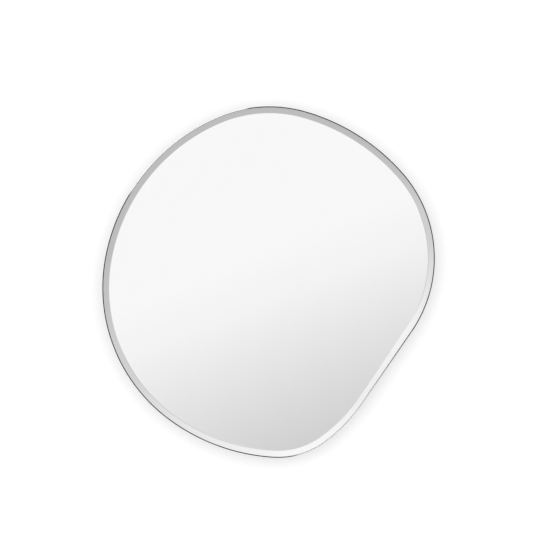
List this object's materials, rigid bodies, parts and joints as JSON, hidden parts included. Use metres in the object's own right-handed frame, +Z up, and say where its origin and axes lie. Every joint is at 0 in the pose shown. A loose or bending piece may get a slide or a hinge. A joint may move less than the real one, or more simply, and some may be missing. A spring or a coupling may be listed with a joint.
{
  "type": "irregular wall mirror",
  "caption": "Pebble-shaped bevelled wall mirror in a slim metal rim, hung on a pair of hooked rails that let it lift off.",
  "frame": {"origin": "on the wall plane, at the middle of the wall rail's line of screws, straight above the middle of the mirror's area", "axes": "+X to the right as seen from the room, +Y into the wall, +Z up; the wall is the plane y = 0"},
  "size_m": [0.5677, 0.0244, 0.6001],
  "materials": {
    "clear_glass": "clear float glass, polished face and ground bevel",
    "silver": "bright silvering behind the glass",
    "backing_paint": "grey protective paint on the silver",
    "safety_film": "thin woven film that holds broken glass together",
    "lacquered_board": "fibreboard sealed with matt black lacquer",
    "black_chrome": "polished black chrome",
    "zinc_plate": "zinc-plated sheet steel",
    "anodised_aluminium": "extruded, clear anodised",
    "foam_tape": "closed-cell foam",
    "mirror_glue": "cured elastic glue",
    "clear_pad": "soft translucent pad",
    "black_rubber": "moulded, matt",
    "zinc_screw": "bright zinc-plated"
  },
  "bodies": {
    "wall": {"wall_rail": "anodised_aluminium"},
    "mirror": {"mirror_glass": "clear_glass", "silver_coating": "silver", "backing_paint": "backing_paint", "safety_film": "safety_film", "backing_board": "lacquered_board", "rim": "black_chrome", "splice_plate": "zinc_plate", "mirror_rail": "anodised_aluminium", "tape_far_left": "foam_tape", "tape_left": "foam_tape", "tape_right": "foam_tape", "tape_far_right": "foam_tape", "glue_bead_left": "mirror_glue", "glue_bead_middle": "mirror_glue", "glue_bead_right": "mirror_glue", "edge_pad_right": "clear_pad", "edge_pad_middle": "clear_pad", "edge_pad_left": "clear_pad", "tab_top": "zinc_plate", "tab_upper_right": "zinc_plate", "tab_right": "zinc_plate", "tab_lower_right": "zinc_plate", "tab_lower_left": "zinc_plate", "tab_left": "zinc_plate", "tab_upper_left": "zinc_plate", "foot_left": "black_rubber", "foot_right": "black_rubber", "tab_screws": "zinc_screw", "mirror_rail_screws": "zinc_screw", "foot_screws": "zinc_screw"}
  },
  "joints": [
    {"name": "lift_off", "type": "slide", "parent": "wall", "child": "mirror", "axis": [0, 0, 1], "range_m": [0, 0.014]}
  ]
}
